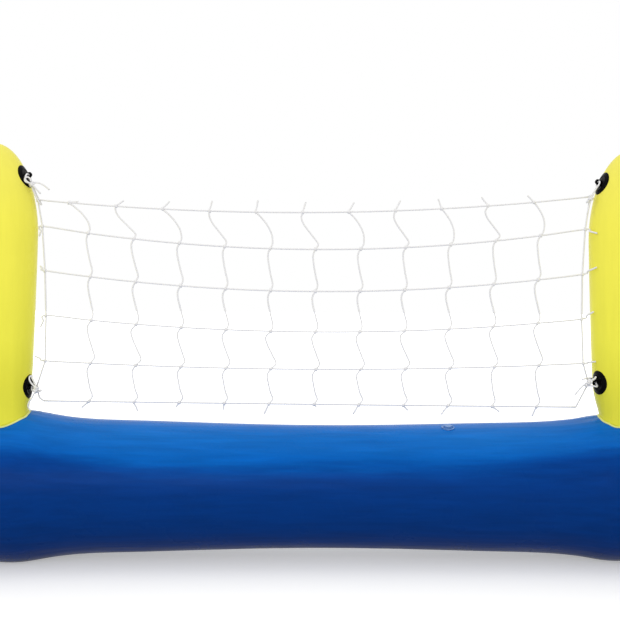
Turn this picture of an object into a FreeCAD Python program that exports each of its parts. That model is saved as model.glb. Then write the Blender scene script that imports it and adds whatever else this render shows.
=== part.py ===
import FreeCAD, Part
import math
import os

# Inflatable pool volleyball set. Two welded film posts stand on one long inflated base tube, an inflated float lies
# across each end of the tube, and a knotted string net is lashed between four moulded eyelets on the posts.
# Millimetres. +X runs along the net, -Y faces the viewer, +Z is up. The origin is on the floor under the middle.

Vec = FreeCAD.Vector
X_AXIS = Vec(1, 0, 0)
Y_AXIS = Vec(0, 1, 0)
Z_AXIS = Vec(0, 0, 1)

# Inflated film
WALL = 1.5                  # drawn wall of every air chamber
WELD_STRIP = 1.2            # thickness of a weld strip on the film
FLOOR_FLAT = 4.0            # depth by which a chamber flattens on the floor

# Base tube: a long tube that swells under each post. The drops say how much thinner it is elsewhere.
TUBE_POST_RADIUS = 135.0
TUBE_MIDDLE_DROP = 22.5
TUBE_END_DROP = 37.0
TUBE_WAIST_DROPS = [(0.35, 19.2), (0.57, 16.0)]                 # (share of the way from the middle to a post, drop)
TUBE_SWELL_DROPS = [(141.0, 11.5), (96.0, 6.2), (66.0, 2.2)]    # (distance from a post's axis, drop), on both sides

# Posts
POST_SPACING = 1202.0       # between the two post axes
POST_RADIUS = 78.0
FOOT_RADIUS = 66.0
POST_HEIGHT = 504.0         # from the tube's crest at the post to the top of the dome
DOME_HEIGHT = 170.0
FOOT_DEPTH = 25.0           # the foot's wall runs straight from this far under the tube's crest
WAIST_SHARE = 0.38          # of the way from the tube's crest up to the dome, half the flare is done
FOOT_RIM_WIDTH = 7.0

# End floats
FLOAT_DROP = 10.0           # how much thinner a float is than the tube under a post
FLOAT_LENGTH = 600.0
FLOAT_END_DEPTH = 80.0      # length of each rounded end
FLOAT_END_BEND = 50.0       # radius of the bend from the float's side into its shallow end cap
FLOAT_GAP = 150.0           # from a post's side to the float's side, along the tube
TUBE_END_DEPTH = 80.0       # how far the tube's end would reach into a float
JOINT_STRIP_WIDTH = 9.0

# Moulded eyelets
EYELET_RADIUS = 22.5
EYELET_THICKNESS = 2.2
EAR_RADIUS = 6.2
EAR_HOLE_RADIUS = 3.2
EAR_THICKNESS = 5.0
EAR_CLEARANCE = 0.6         # from the patch to the edge of the ear's hole
EAR_TURN = 35.0             # turn of a net eyelet's ear about its own stalk
EAR_ROOT = 2.0              # the stalk is drawn from this far inside the film and trimmed at its surface
UPPER_EYELET_DROPS = {"left": 62.0, "right": 64.0}   # below the top of the post
LOWER_EYELET_RISES = {"left": 50.0, "right": 64.0}   # above the tube's crest at the post
EYELET_TURNS = {            # round the post towards the viewer, in degrees
    "upper_left": 7.0,
    "upper_right": 4.0,
    "lower_left": 6.0,
    "lower_right": 14.0,
}

# Net
CORD = 3.2
CELLS_ACROSS = 12
CELLS_DOWN = 5
NET_GAP = 11.0              # from a post's widest side to the side cord at the second row
# Rows of knots: height of the left and right knot over the tube's crest, sag, left and right reach past the second row
NET_ROWS = [
    (399.0, 415.0, 26.5, 9.0, 9.0),
    (349.5, 353.0, 40.5, 0.0, 0.0),
    (266.5, 267.5, 35.5, -5.5, -5.0),
    (182.5, 182.5, 27.5, -8.0, -5.5),
    (97.5, 98.5, 13.5, -7.0, -2.0),
    (22.5, 15.5, 0.5, -5.0, -15.5),
]
END_CELLS = {0: (58.0, 107.5), 5: (84.0, 75.0)}   # width of a row's first and last cell where it isn't even
SWAY_LEFT = 6.5             # the upright cords bend left under a knot
SWAY_RIGHT = 7.5            # and right above the next one
UPRIGHT_WAVE = [(0.0, 0.0), (0.12, -0.75), (0.3, -1.0), (0.62, 0.0), (0.85, 1.0), (1.0, 0.0)]   # (way down, sway)
TOP_TAIL = 17.0
BOTTOM_TAIL = 12.0
SIDE_TAIL = 10.0
TOP_TAIL_LEAN = 0.5         # sideways for each millimetre up, at the left end
TOP_TAIL_LEAN_CHANGE = -0.55   # and the change from the left end to the right end
BOTTOM_TAIL_LEAN = 0.3
SIDE_TAIL_DROP = 0.5
SIDE_PINCH = 8.5            # the lower lashings pull the side cords outwards to this far past the second row
SIDE_PINCH_RISES = {-1: 26.0, 1: 45.5}   # at this height over the bottom row, left and right

# Lashings: points from the ear hole's middle, as (towards the net's middle, away from the viewer, up). Each is one
# cord, from its first cut end through the knot, round the net's corner or side cord and through the ear.
LASHING_ROUTES = {
    "upper_left": [(40, -6, -27.5), (30, -7, -18.5), (17, -8, -13.5), (8, -7.5, -17.5), (7.5, -4, -25), (14, 1, -42),
                   (21, 3.5, -54), (21, 12.5, -54), (15, 12.5, -44), (9.5, 9, -31), (7, 3, -18.5), (4.5, -1.5, -10),
                   (1.6, 3.9, -2.7), (-1.6, -3.9, 2.7), (-2, -12, -2), (-2.4, -17, -9), (2.5, -17.5, -15),
                   (9.5, -14, -18), (14, -12, -23), (24, -8, -35)],
    "upper_right": [(21, -3, -60), (18.5, -4, -46), (15, -4.5, -32), (8, -7, -15), (0.8, -10.1, -4.2),
                    (-1.4, -4, 2.7), (1.4, 4, -2.7), (3.6, -1.4, -10), (5.5, 3.5, -16), (10, 9.5, -27),
                    (19.5, 9.5, -38), (20.5, 0.3, -38.5), (21.5, -6, -37), (18, -10.5, -31.5)],
    "lower_left": [(1.5, -17, -42), (-3, -17, -35.5), (-2.3, -17, -28.5), (4, -17, -19.5), (11, -15, -4),
                   (9.5, -12, 6), (3, -10, 16), (-1, -3, 19), (0.7, 5.5, 12), (0.7, 5.5, 5), (-0.6, -5, -3.5),
                   (5, -9.5, -8), (12, -5, -9), (16, 4, -8), (12, 12.2, -7), (1, 12, -14)],
    "lower_right": [(39, 1, -24), (30.5, -1, -11.5), (20, -5, 0), (12, -9, 5), (4, -10, 9), (-0.2, -2.5, 12.5),
                    (1.4, 5.3, 5), (-1.3, -4.8, -3.5), (0.5, -11, -6.5), (9, -12, -4), (15.5, 0, -6), (16.5, 17, -7),
                    (10.5, 24.5, -5), (2.5, 23, 0), (1.5, 17, 5), (4, 11, 8), (12, 7, 8), (24, 3, 6)],
}

LASHING_BEND_SHARE = 0.45   # of the shorter run beside a bend, taken up by the bend

# Air valves
VALVE_FLANGE_RADIUS = 12.0
VALVE_FLANGE_TOP = 1.2
SLEEVE_RADIUS = 7.2
SLEEVE_DEPTH = 5.0
STEM_RADIUS = 5.8
STEM_BORE_RADIUS = 4.0
STEM_TRAVEL = 11.5
STEM_HEAD_RADIUS = 7.2
STEM_HEAD = 1.1
STEM_LIP_RADIUS = 6.6
STEM_LIP = 1.0
RUNNING_CLEARANCE = 0.1
MOVING_GAP = 0.3
PLUG_RADIUS = 6.8
PLUG_THICKNESS = 1.4
PLUG_SPIGOT = 3.0
SPIGOT_CLEARANCE = 0.2
SPIGOT_TAPER = 0.6
PLUG_HINGE_OUT = 9.4        # from the valve's axis to the plug's hinge line
PLUG_STRAP_WIDTH = 3.0
PLUG_TAB_WIDTH = 4.0
PLUG_TAB_REACH = 2.5        # past the plug's rim
STEM_EAR_WIDTH = 4.0
STEM_EAR_REACH = 1.0        # past the plug's hinge line
FLAP_RADIUS = 4.8
FLAP_THICKNESS = 0.7
FLAP_HINGE_OUT = 5.2
BASE_VALVE_X = 249.0
BASE_VALVE_TILT = 12.0      # towards the viewer
POST_VALVE_RISE = 165.0     # above the tube's crest at the post

POST_X = POST_SPACING / 2
NET_HALF_WIDTH = POST_X - POST_RADIUS - NET_GAP
FLOAT_RADIUS = TUBE_POST_RADIUS - FLOAT_DROP
TUBE_AXIS_HEIGHT = TUBE_POST_RADIUS - FLOOR_FLAT
CREST = TUBE_AXIS_HEIGHT + TUBE_POST_RADIUS
POST_TOP = CREST + POST_HEIGHT
DOME_BASE = POST_TOP - DOME_HEIGHT
FLOAT_AXIS_HEIGHT = FLOAT_RADIUS - FLOOR_FLAT
FLOAT_X = POST_X + POST_RADIUS + FLOAT_GAP + FLOAT_RADIUS
TUBE_END_X = FLOAT_X - FLOAT_RADIUS + TUBE_END_DEPTH
FLOAT_BEND_RING = FLOAT_RADIUS - FLOAT_END_BEND   # radius of the ring on which the end bend is centred
FLOAT_CAP = ((FLOAT_END_DEPTH**2 + FLOAT_BEND_RING**2 - FLOAT_END_BEND**2)
             / (2 * (FLOAT_END_DEPTH - FLOAT_END_BEND)))   # radius of the end cap that meets the bend smoothly
BIG = 4 * FLOAT_X


def spline_edge(points):
    """A smooth edge through points."""
    curve = Part.BSplineCurve()
    curve.interpolate(points)
    return curve.toShape()


def dome_edge(tip, centre, rim):
    """A quarter of an ellipse from its rim to its tip."""
    along, across = tip - centre, rim - centre
    halfway = centre + (along + across) * math.sqrt(0.5)
    if along.Length > across.Length:
        ellipse = Part.Ellipse(tip, rim, centre)
    else:
        ellipse = Part.Ellipse(rim, tip, centre)
    quarters = Part.ArcOfEllipse(ellipse, 0, 2 * math.pi).toShape()
    cutters = [Part.makeLine(centre, centre + way * 2) for way in (along, across, -along, -across)]
    pieces = quarters.generalFuse(cutters)[0].Edges
    curved = [e for e in pieces if e.Curve.TypeId != "Part::GeomLine"]
    return min(curved, key=lambda e: e.distToShape(Part.Vertex(halfway))[0])


def revolved(edges, centre, axis):
    """The solid that closed edges sweep about an axis."""
    face = Part.Face(Part.Wire(Part.sortEdges(edges)[0]))
    return face.revolve(centre, axis, 360)


def above_floor(solid, height):
    """What is left of a solid above a height."""
    below = Part.makeBox(BIG, BIG, BIG, Vec(-BIG / 2, -BIG / 2, height - BIG))
    return solid.cut(below)


def tube_solid(inset):
    """The base tube as a full solid, its skin moved inwards by inset."""
    stations = [(0, TUBE_MIDDLE_DROP)]
    stations += [(share * POST_X, drop) for share, drop in TUBE_WAIST_DROPS]
    stations += [(POST_X - reach, drop) for reach, drop in TUBE_SWELL_DROPS]
    stations += [(POST_X, 0)]
    stations += [(POST_X + reach, drop) for reach, drop in reversed(TUBE_SWELL_DROPS)]
    stations += [(TUBE_END_X, TUBE_END_DROP)]
    whole = [(-x, drop) for x, drop in reversed(stations[1:])] + stations
    skin = [Vec(x, 0, TUBE_AXIS_HEIGHT + TUBE_POST_RADIUS - drop - inset) for x, drop in whole]
    first, last = Vec(-TUBE_END_X, 0, TUBE_AXIS_HEIGHT), Vec(TUBE_END_X, 0, TUBE_AXIS_HEIGHT)
    edges = [
        spline_edge(skin),
        Part.makeLine(skin[-1], last),
        Part.makeLine(last, first),
        Part.makeLine(first, skin[0]),
    ]
    return above_floor(revolved(edges, first, X_AXIS), inset)


def post_solid(side, inset):
    """A post as a full solid, from inside the base tube up to its dome. Its seam is on the side away from the net."""
    x = side * POST_X
    low = (TUBE_AXIS_HEIGHT + CREST) / 2
    foot = Vec(x + side * (FOOT_RADIUS - inset), 0, CREST - FOOT_DEPTH)
    waist = Vec(x + side * ((FOOT_RADIUS + POST_RADIUS) / 2 - inset), 0, CREST + WAIST_SHARE * (DOME_BASE - CREST))
    shoulder = Vec(x + side * (POST_RADIUS - inset), 0, DOME_BASE)
    top = Vec(x, 0, POST_TOP - inset)
    bottom = Vec(x, 0, low)
    bottom_rim = Vec(foot.x, 0, low)
    edges = [
        dome_edge(top, Vec(x, 0, DOME_BASE), shoulder),
        Part.Arc(foot, waist, shoulder).toShape(),
        Part.makeLine(foot, bottom_rim),
        Part.makeLine(bottom_rim, bottom),
        Part.makeLine(bottom, top),
    ]
    return revolved(edges, bottom, Z_AXIS)


def float_solid(side, inset):
    """An end float as a full solid: a tube across the set, each end bending over into a shallow cap."""
    centre = Vec(side * FLOAT_X, 0, FLOAT_AXIS_HEIGHT)
    straight = FLOAT_LENGTH / 2 - FLOAT_END_DEPTH
    bend, cap = FLOAT_END_BEND - inset, FLOAT_CAP - inset
    cap_centre = FLOAT_LENGTH / 2 - FLOAT_CAP
    meet = math.atan2(FLOAT_CAP - FLOAT_END_DEPTH, FLOAT_BEND_RING)

    def on_bend(angle, way):
        y, z = straight + bend * math.sin(angle), FLOAT_BEND_RING + bend * math.cos(angle)
        return centre + Vec(0, way * y, z)

    def on_cap(angle, way):
        y, z = cap_centre + cap * math.sin(angle), cap * math.cos(angle)
        return centre + Vec(0, way * y, z)

    pole = math.pi / 2
    edges = [
        Part.makeLine(on_bend(0, -1), on_bend(0, 1)),
        Part.makeLine(on_cap(pole, -1), on_cap(pole, 1)),
    ]
    for way in (-1, 1):
        edges.append(Part.Arc(on_bend(0, way), on_bend(meet / 2, way), on_bend(meet, way)).toShape())
        edges.append(Part.Arc(on_cap(meet, way), on_cap((meet + pole) / 2, way), on_cap(pole, way)).toShape())
    return above_floor(revolved(edges, centre, Y_AXIS), inset)


SIDES = {"left": -1, "right": 1}


def outer_shell(solid_of, side):
    """An air chamber's film: its full solid less the same solid one wall smaller."""
    return solid_of(side, 0).cut(solid_of(side, WALL))


def tube_of(_side, inset):
    """The base tube under the same call as the other chambers."""
    return tube_solid(inset)


def layer_on(solid_of, side, thickness):
    """A skin of a given thickness all over the outside of a chamber."""
    return solid_of(side, -thickness).cut(solid_of(side, 0))


def skin_point(solid, inside, direction):
    """Where a ray from inside a solid comes out of it."""
    ray = Part.makeLine(inside, inside + direction * BIG)
    run = ray.common(solid)
    ends = [v.Point for v in run.Vertexes]
    return max(ends, key=lambda p: (p - inside).Length)


def placed(shape, origin, x_dir, z_dir):
    """A shape drawn about the local axes, moved to where it belongs."""
    y_dir = z_dir.cross(x_dir)
    turn = FreeCAD.Matrix(
        x_dir.x, y_dir.x, z_dir.x, origin.x,
        x_dir.y, y_dir.y, z_dir.y, origin.y,
        x_dir.z, y_dir.z, z_dir.z, origin.z,
        0, 0, 0, 1)
    moved = shape.copy()
    moved.Placement = FreeCAD.Placement(turn)
    return moved


def rod(radius, low, high):
    """An upright cylinder between two local heights."""
    return Part.makeCylinder(radius, high - low, Vec(0, 0, low))


def foot_strip(side):
    """The weld strip that lies on the base tube round a post's foot."""
    reach = FOOT_RADIUS + FOOT_RIM_WIDTH
    column = Part.makeCylinder(reach, POST_HEIGHT, Vec(side * POST_X, 0, TUBE_AXIS_HEIGHT))
    strip = column.common(layer_on(tube_of, side, WELD_STRIP))
    return strip.cut(post_solid(side, 0))


def joint_strip(side):
    """The weld strip round the base tube where it enters an end float."""
    near = float_solid(side, -JOINT_STRIP_WIDTH)
    return near.common(layer_on(tube_of, side, WELD_STRIP)).cut(float_solid(side, 0))


def eyelet(solid_of, side, origin, normal, turn):
    """A round moulded patch that follows the film, with a standing ear and its round hole."""
    up_skin = normal.cross(Z_AXIS.cross(normal))
    up_skin.normalize()
    along_hole = FreeCAD.Rotation(normal, turn).multVec(up_skin).cross(normal)
    patch = placed(rod(EYELET_RADIUS, -EYELET_RADIUS, EYELET_RADIUS), origin, along_hole, normal)
    patch = patch.common(layer_on(solid_of, side, EYELET_THICKNESS))
    hole_height = EYELET_THICKNESS + EAR_CLEARANCE + EAR_HOLE_RADIUS
    stalk = Part.makeBox(EAR_THICKNESS, 2 * EAR_RADIUS, hole_height + EAR_ROOT,
                         Vec(-EAR_THICKNESS / 2, -EAR_RADIUS, -EAR_ROOT))
    crown = Part.makeCylinder(EAR_RADIUS, EAR_THICKNESS, Vec(-EAR_THICKNESS / 2, 0, hole_height), X_AXIS)
    hole = Part.makeCylinder(EAR_HOLE_RADIUS, 2 * EAR_THICKNESS, Vec(-EAR_THICKNESS, 0, hole_height), X_AXIS)
    ear = placed(stalk.fuse(crown).cut(hole), origin, along_hole, normal)
    body = patch.fuse(ear.cut(solid_of(side, 0))).removeSplitter()
    centre = origin + normal * hole_height
    return body, centre, along_hole


def eyelet_frame(level, word, side):
    """The skin point and outward normal of a net eyelet, at its height and turned round the post."""
    if level == "upper":
        height = POST_TOP - UPPER_EYELET_DROPS[word]
    else:
        height = CREST + LOWER_EYELET_RISES[word]
    inward = Vec(-side, 0, 0)
    middle = Vec(side * POST_X, 0, height)
    step = Z_AXIS * WALL
    solid = post_solid(side, 0)
    below, here, above = (skin_point(solid, middle + step * way, inward) for way in (-1, 0, 1))
    normal = (above - below).cross(Y_AXIS) * side
    normal.normalize()
    turn = FreeCAD.Rotation(Z_AXIS, side * EYELET_TURNS[f"{level}_{word}"])
    return middle + turn.multVec(here - middle), turn.multVec(normal)


def net_knot(column, row):
    """The middle of one knot as (x, z)."""
    left_rise, right_rise, sag, left_reach, right_reach = NET_ROWS[row]
    first, last = -NET_HALF_WIDTH - left_reach, NET_HALF_WIDTH + right_reach
    if row in END_CELLS and 0 < column < CELLS_ACROSS:
        first_cell, last_cell = END_CELLS[row]
        inner = last - last_cell - first - first_cell
        x = first + first_cell + inner * (column - 1) / (CELLS_ACROSS - 2)
    else:
        x = first + (last - first) * column / CELLS_ACROSS
    share = (x - first) / (last - first)
    z = CREST + left_rise + (right_rise - left_rise) * share - 4 * sag * share * (1 - share)
    return x, z


def upright_points(column, row):
    """The line of an upright cord from one knot to the one below it, both included."""
    (x0, z0), (x1, z1) = net_knot(column, row), net_knot(column, row + 1)
    if column in (0, CELLS_ACROSS):
        if row < CELLS_DOWN - 1:
            return [(x0, z0), (x1, z1)]
        side = -1 if column == 0 else 1
        rise = SIDE_PINCH_RISES[side]
        return [(x0, z0), (side * (NET_HALF_WIDTH + SIDE_PINCH), z1 + rise), (x1, z1)]
    wave = [(t, s * (SWAY_LEFT if s < 0 else SWAY_RIGHT)) for t, s in UPRIGHT_WAVE]
    return [(x0 + (x1 - x0) * t + s, z0 + (z1 - z0) * t) for t, s in wave]


def offset_loop(points, distance):
    """A closed clockwise loop moved to its own right by a distance, with mitred corners."""
    moved = []
    for i, (x, z) in enumerate(points):
        (ax, az), (bx, bz) = points[i - 1], points[(i + 1) % len(points)]
        ux, uz = x - ax, z - az
        vx, vz = bx - x, bz - z
        u, v = math.hypot(ux, uz), math.hypot(vx, vz)
        nx, nz = uz / u + vz / v, -ux / u - vx / v
        size = (nx * nx + nz * nz) / 2
        moved.append((x + distance * nx / size, z + distance * nz / size))
    return moved


def flat_face(outline, holes):
    """A face in the plane of the net from an outline and its holes."""
    def wire(points):
        corners = [Vec(x, -CORD / 2, z) for x, z in points]
        return Part.makePolygon(corners + corners[:1])
    return Part.Face([wire(outline)] + [wire(h) for h in holes])


def net_tail(start, direction, length):
    """A cut cord end that stands out of a knot."""
    (x, z), (dx, dz) = start, direction
    size = math.hypot(dx, dz)
    dx, dz = dx / size, dz / size
    half = CORD / 2
    corners = [(0, -half), (0, half), (length + half, half), (length + half, -half)]
    outline = [(x + dx * a - dz * b, z + dz * a + dx * b) for a, b in corners]
    return flat_face(outline, []).extrude(Vec(0, CORD, 0))


def net():
    """The whole net as one holed face, as thick as its cord, with the cut cord ends."""
    holes = []
    for row in range(CELLS_DOWN):
        for column in range(CELLS_ACROSS):
            right = upright_points(column + 1, row)
            left = upright_points(column, row)
            loop = right + left[::-1]
            holes.append(offset_loop(loop, CORD / 2))
    right_side = [p for row in range(CELLS_DOWN) for p in upright_points(CELLS_ACROSS, row)[1:]]
    left_side = [p for row in range(CELLS_DOWN) for p in upright_points(0, row)[1:]]
    top = [net_knot(c, 0) for c in range(CELLS_ACROSS + 1)]
    bottom = [net_knot(c, CELLS_DOWN) for c in range(1, CELLS_ACROSS)]
    loop = top + right_side + bottom[::-1] + left_side[::-1]
    plate = flat_face(offset_loop(loop, -CORD / 2), holes).extrude(Vec(0, CORD, 0))
    tails = []
    for column in range(1, CELLS_ACROSS):
        lean = TOP_TAIL_LEAN + TOP_TAIL_LEAN_CHANGE * column / CELLS_ACROSS
        tails.append(net_tail(net_knot(column, 0), (lean, 1), TOP_TAIL))
        tails.append(net_tail(net_knot(column, CELLS_DOWN), (BOTTOM_TAIL_LEAN, -1), BOTTOM_TAIL))
    for row in range(1, CELLS_DOWN):
        for column, way in ((0, -1), (CELLS_ACROSS, 1)):
            tails.append(net_tail(net_knot(column, row), (way, -SIDE_TAIL_DROP), SIDE_TAIL))
    return plate.multiFuse(tails).removeSplitter()


def cord_tube(route, diameter):
    """A round cord along straight runs that tangent arcs join, as large as the runs allow."""
    edges = []
    radii = []
    start = route[0]
    for before, corner, after in zip(route, route[1:], route[2:]):
        back, ahead = before - corner, after - corner
        turn = math.pi - back.getAngle(ahead)
        trim = LASHING_BEND_SHARE * min(back.Length, ahead.Length)
        radius = trim / math.tan(turn / 2)
        radii.append(radius)
        back.normalize()
        ahead.normalize()
        inner_way = back + ahead
        inner_way.normalize()
        enter, leave = corner + back * trim, corner + ahead * trim
        middle = corner + inner_way * (radius / math.cos(turn / 2) - radius)
        edges.append(Part.makeLine(start, enter))
        edges.append(Part.Arc(enter, middle, leave).toShape())
        start = leave
    edges.append(Part.makeLine(start, route[-1]))
    path = Part.Wire(edges)
    ring = Part.Wire([Part.makeCircle(diameter / 2, route[0], route[1] - route[0])])
    print(f"  cord length {path.Length:6.1f}, least bend radius {min(radii):5.1f}")
    return path.makePipeShell([ring], True, True)


def valve_parts(origin, outward, strap_way, solid_of, side):
    """The four pieces of one air valve, placed, and the local points of its two hinges."""
    head_low = VALVE_FLANGE_TOP + MOVING_GAP
    head_top = head_low + STEM_HEAD
    stem_low = -SLEEVE_DEPTH - STEM_TRAVEL - MOVING_GAP
    lip_low = stem_low - STEM_LIP
    sleeve_bore = STEM_RADIUS + RUNNING_CLEARANCE

    disc = placed(rod(VALVE_FLANGE_RADIUS, -SLEEVE_DEPTH, VALVE_FLANGE_TOP), origin, strap_way, outward)
    disc = disc.cut(solid_of(side, 0))
    sleeve = placed(rod(SLEEVE_RADIUS, -SLEEVE_DEPTH, VALVE_FLANGE_TOP), origin, strap_way, outward)
    bore = placed(rod(sleeve_bore, -2 * SLEEVE_DEPTH, 2 * SLEEVE_DEPTH), origin, strap_way, outward)
    flange = disc.fuse(sleeve).cut(bore).removeSplitter()

    ear = Part.makeBox(PLUG_HINGE_OUT + STEM_EAR_REACH - STEM_RADIUS, STEM_EAR_WIDTH, STEM_HEAD,
                       Vec(STEM_RADIUS, -STEM_EAR_WIDTH / 2, head_low))
    head = rod(STEM_HEAD_RADIUS, head_low, head_top)
    lip = rod(STEM_LIP_RADIUS, lip_low, stem_low)
    stem = rod(STEM_RADIUS, stem_low, head_low).fuse([head, ear, lip])
    stem = stem.cut(rod(STEM_BORE_RADIUS, 2 * lip_low, -lip_low)).removeSplitter()

    plug_low = head_top + MOVING_GAP
    hinge_height = plug_low + PLUG_THICKNESS / 2
    wide = STEM_BORE_RADIUS - SPIGOT_CLEARANCE
    spigot = Part.makeCone(wide - SPIGOT_TAPER, wide, PLUG_SPIGOT, Vec(0, 0, plug_low - PLUG_SPIGOT))
    strap = Part.makeBox(PLUG_HINGE_OUT - PLUG_RADIUS / 2, PLUG_STRAP_WIDTH, PLUG_THICKNESS,
                         Vec(PLUG_RADIUS / 2, -PLUG_STRAP_WIDTH / 2, plug_low))
    knuckle = Part.makeCylinder(PLUG_THICKNESS / 2, PLUG_STRAP_WIDTH,
                                Vec(PLUG_HINGE_OUT, -PLUG_STRAP_WIDTH / 2, hinge_height), Y_AXIS)
    tab = Part.makeBox(PLUG_RADIUS / 2 + PLUG_TAB_REACH, PLUG_TAB_WIDTH, PLUG_THICKNESS,
                       Vec(-PLUG_RADIUS - PLUG_TAB_REACH, -PLUG_TAB_WIDTH / 2, plug_low))
    plug = rod(PLUG_RADIUS, plug_low, plug_low + PLUG_THICKNESS).fuse([spigot, strap, knuckle, tab])
    plug = plug.removeSplitter()

    flap_top = lip_low - MOVING_GAP
    flap = rod(FLAP_RADIUS, flap_top - FLAP_THICKNESS, flap_top)

    hinges = {
        "plug": Vec(PLUG_HINGE_OUT, 0, hinge_height),
        "flap": Vec(-FLAP_HINGE_OUT, 0, flap_top - FLAP_THICKNESS / 2),
    }
    turned = {"stem": stem, "plug": plug, "flap": flap}
    pieces = {name: placed(shape, origin, strap_way, outward) for name, shape in turned.items()}
    pieces["flange"] = flange
    across = outward.cross(strap_way)
    spots = {
        name: origin + strap_way * p.x + across * p.y + outward * p.z for name, p in hinges.items()
    }
    hole = placed(rod(SLEEVE_RADIUS, -2 * SLEEVE_DEPTH, 2 * SLEEVE_DEPTH), origin, strap_way, outward)
    return pieces, spots, across, hole


def save(name, shape):
    """Write one node and print what it is."""
    solids = shape.Solids
    kept = solids[0] if len(solids) == 1 else Part.Compound(solids)
    kept.exportStep(f"parts/{name}.step")
    print(f"{name:26s} solids {len(solids)} volume {kept.Volume:10.1f} valid {kept.isValid()}")


def main():
    os.makedirs("parts", exist_ok=True)

    tilt = math.radians(BASE_VALVE_TILT)
    up = Vec(0, -math.sin(tilt), math.cos(tilt))
    inside = Vec(BASE_VALVE_X, 0, TUBE_AXIS_HEIGHT)
    base_spot = skin_point(tube_solid(0), inside, up)
    valves = {"base_valve": (base_spot, up, X_AXIS, tube_of, 0)}
    for word, side in SIDES.items():
        inside = Vec(side * POST_X, 0, CREST + POST_VALVE_RISE)
        spot = skin_point(post_solid(side, 0), inside, Y_AXIS)
        valves[f"{word}_post_valve"] = (spot, Y_AXIS, Z_AXIS, post_solid, side)
    holes = {}
    for name, (spot, outward, strap_way, solid_of, side) in valves.items():
        pieces, spots, across, hole = valve_parts(spot, outward, strap_way, solid_of, side)
        holes[name] = hole
        for piece, shape in pieces.items():
            save(f"{name}_{piece}", shape)
        for hinge, place in spots.items():
            print(f"  {name} {hinge} hinge at {place.x:.3f} {place.y:.3f} {place.z:.3f} "
                  f"about {across.x:.4f} {across.y:.4f} {across.z:.4f}")

    tube = tube_solid(0).cut(tube_solid(WALL)).cut(holes["base_valve"])
    for side in SIDES.values():
        tube = tube.cut(float_solid(side, 0))
    save("base_tube", tube)

    for word, side in SIDES.items():
        chamber = outer_shell(float_solid, side).cut(tube_solid(WALL))
        save(f"end_float_{word}", chamber)
        save(f"joint_strip_{word}", joint_strip(side))
        post = outer_shell(post_solid, side).cut(tube_solid(0)).cut(holes[f"{word}_post_valve"])
        save(f"post_{word}", post)
        save(f"foot_strip_{word}", foot_strip(side))
        for level in ("upper", "lower"):
            origin, normal = eyelet_frame(level, word, side)
            turn = EAR_TURN * side if level == "upper" else -EAR_TURN * side
            body, centre, along = eyelet(post_solid, side, origin, normal, turn)
            save(f"eyelet_{level}_{word}", body)
            print(f"  ear hole at {centre.x:.2f} {centre.y:.2f} {centre.z:.2f} along "
                  f"{along.x:.3f} {along.y:.3f} {along.z:.3f}")
            route = [centre + Vec(-side * a, b, c) for a, b, c in LASHING_ROUTES[f"{level}_{word}"]]
            save(f"lashing_{level}_{word}", cord_tube(route, CORD))
        origin = Vec(side * (FLOAT_X + FLOAT_RADIUS), 0, FLOAT_AXIS_HEIGHT)
        body, centre, along = eyelet(float_solid, side, origin, Vec(side, 0, 0), 0)
        save(f"tether_eyelet_{word}", body)
        print(f"  tether hole at {centre.x:.2f} {centre.y:.2f} {centre.z:.2f} along {along}")
    save("net", net())


main()
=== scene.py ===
# %% [markdown]
# # An inflatable pool volleyball set
# The set is soft vinyl film blown up tight: two domed yellow posts stand on one long blue tube, a float lies across
# each end, and a knotted cord net is lashed between four black moulded eyelets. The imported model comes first, as the
# frame that everything else is built around. Its boxes give the sizes, so nothing here has to be fitted by eye.

# %% Load the frame
import math
import bmesh
import bpy
import numpy as np
from mathutils import Matrix, Vector, noise


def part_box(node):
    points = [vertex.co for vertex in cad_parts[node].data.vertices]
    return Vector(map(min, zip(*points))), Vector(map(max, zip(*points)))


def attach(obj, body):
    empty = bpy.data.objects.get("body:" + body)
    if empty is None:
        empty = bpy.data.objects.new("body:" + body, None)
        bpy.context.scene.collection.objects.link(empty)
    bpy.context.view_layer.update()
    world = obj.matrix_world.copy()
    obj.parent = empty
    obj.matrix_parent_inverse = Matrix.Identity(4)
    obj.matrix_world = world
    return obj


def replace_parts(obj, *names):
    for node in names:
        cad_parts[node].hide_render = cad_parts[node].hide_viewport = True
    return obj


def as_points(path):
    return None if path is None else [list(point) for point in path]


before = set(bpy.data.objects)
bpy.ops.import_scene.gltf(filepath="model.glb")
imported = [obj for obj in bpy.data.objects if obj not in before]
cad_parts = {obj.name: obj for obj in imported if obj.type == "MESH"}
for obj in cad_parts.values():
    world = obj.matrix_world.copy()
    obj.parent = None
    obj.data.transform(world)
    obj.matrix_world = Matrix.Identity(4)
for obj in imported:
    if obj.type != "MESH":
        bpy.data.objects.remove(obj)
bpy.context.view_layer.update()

MM = 0.001
SET_BODY = "net_set"
SIDES = {"left": -1, "right": 1}

# %% [markdown]
# ## Main sizes
# A node's box says how large its solid is. The tube's half depth is its radius under a post, and its highest point is
# the crest that the posts stand on. Measuring the frame keeps the film skins on the solids that they replace.

# %% Read the main sizes from the frame
tube_low, tube_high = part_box("base_tube")
post_low, post_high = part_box("post_right")
float_low, float_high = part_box("end_float_right")
CREST = tube_high.z
TUBE_POST_RADIUS = (tube_high.y - tube_low.y) / 2
TUBE_AXIS_Z = CREST - TUBE_POST_RADIUS
POST_X = (post_low.x + post_high.x) / 2
POST_RADIUS = (post_high.x - post_low.x) / 2
POST_TOP = post_high.z
FLOAT_RADIUS = (float_high.x - float_low.x) / 2
FLOAT_X = (float_low.x + float_high.x) / 2
FLOAT_AXIS_Z = float_high.z - FLOAT_RADIUS
FLOAT_HALF_LENGTH = float_high.y
print(f"crest {CREST:.3f}, post axis {POST_X:.3f}, post radius {POST_RADIUS:.3f}, top {POST_TOP:.3f}")

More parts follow.
